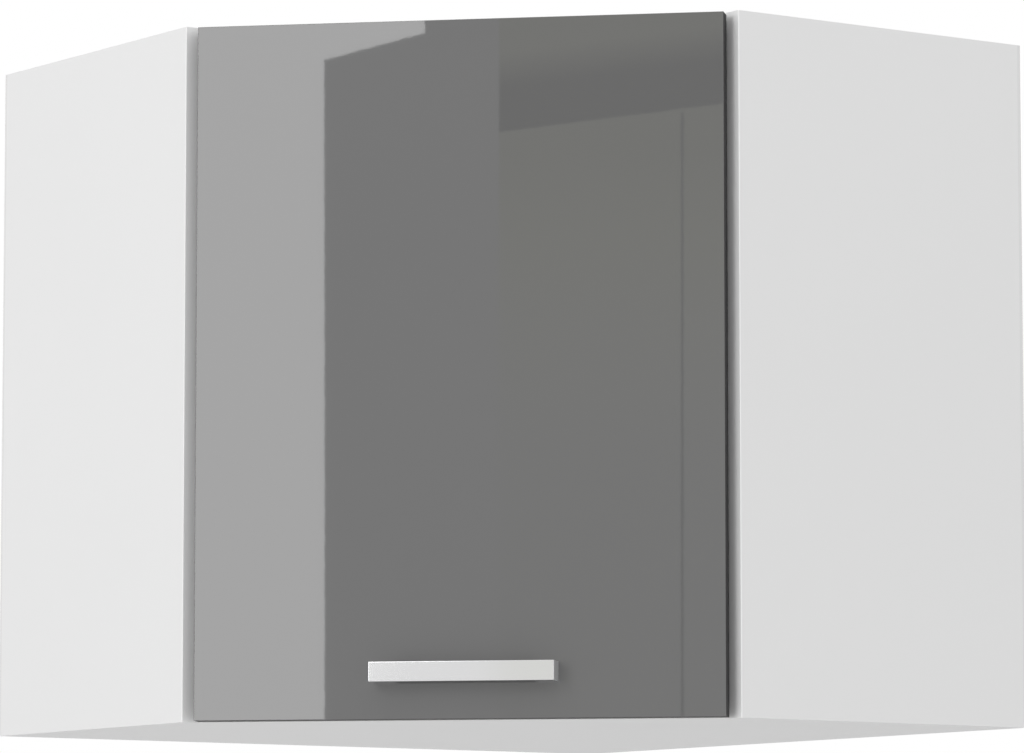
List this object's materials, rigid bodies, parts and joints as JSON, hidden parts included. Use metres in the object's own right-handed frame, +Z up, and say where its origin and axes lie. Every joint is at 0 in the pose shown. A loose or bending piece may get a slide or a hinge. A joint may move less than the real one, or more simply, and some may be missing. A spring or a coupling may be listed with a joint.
{
  "type": "diagonal corner wall cabinet",
  "caption": "Diagonal corner wall cabinet with one angled high-gloss door on cup hinges, a loose shelf on pegs, a bridge handle and keyhole wall hangers.",
  "frame": {"origin": "the room corner, where the two walls meet, at the level of the cabinet's underside", "axes": "+X to the right along the door, +Y back into the corner, +Z up; the door faces -Y"},
  "size_m": [0.8486, 0.6594, 0.553],
  "materials": {
    "white_melamine": "white melamine-faced chipboard, fine orange-peel texture, satin",
    "white_edging": "white ABS edge strip, satin",
    "white_hardboard": "thin hardboard, brown fibres outside, white lacquer inside",
    "grey_gloss": "high-gloss grey door face",
    "grey_edging": "high-gloss grey edge strip",
    "satin_aluminium": "brushed satin aluminium",
    "zinc_steel": "zinc-plated steel",
    "nickel_steel": "nickel-plated pressed steel",
    "spring_steel": "blued spring steel",
    "beech": "fluted beech dowel",
    "die_cast_zinc": "die-cast zinc cam",
    "clear_rubber": "clear soft dot"
  },
  "bodies": {
    "carcass": {"left_side_panel": "white_melamine", "right_side_panel": "white_melamine", "top_panel": "white_melamine", "bottom_panel": "white_melamine", "corner_stile": "white_melamine", "left_side_edging": "white_edging", "right_side_edging": "white_edging", "top_panel_edging": "white_edging", "bottom_panel_edging": "white_edging", "left_back_panel": "white_hardboard", "right_back_panel": "white_hardboard", "left_hanging_bracket": "zinc_steel", "right_hanging_bracket": "zinc_steel", "bracket_screws": "zinc_steel", "cam_bolts": "zinc_steel", "cam_locks": "die_cast_zinc", "wood_dowels": "beech", "back_nails": "zinc_steel", "shelf_pins": "nickel_steel", "plate_screws": "zinc_steel", "arm_screws": "nickel_steel", "adjusting_screws": "nickel_steel", "lower_hinge_arm": "nickel_steel", "lower_hinge_plate": "nickel_steel", "upper_hinge_arm": "nickel_steel", "upper_hinge_plate": "nickel_steel"},
    "door": {"door_panel": "grey_gloss", "door_edging": "grey_edging", "door_handle": "satin_aluminium", "handle_screws": "zinc_steel", "door_bumpers": "clear_rubber", "cup_screws": "nickel_steel", "lower_hinge_cup": "nickel_steel", "lower_hinge_pin": "zinc_steel", "lower_hinge_spring": "spring_steel", "upper_hinge_cup": "nickel_steel", "upper_hinge_pin": "zinc_steel", "upper_hinge_spring": "spring_steel"},
    "shelf": {"shelf": "white_melamine", "shelf_edging": "white_edging"}
  },
  "joints": [
    {"name": "door_swing", "type": "hinge", "parent": "carcass", "child": "door", "pos_m": [-0.20171, -0.62859, 0.2765], "axis": [0, 0, -1], "range_deg": [0, 95]},
    {"name": "shelf_lift", "type": "slide", "parent": "carcass", "child": "shelf", "axis": [0, 0, 1], "range_m": [0, 0.138]}
  ]
}
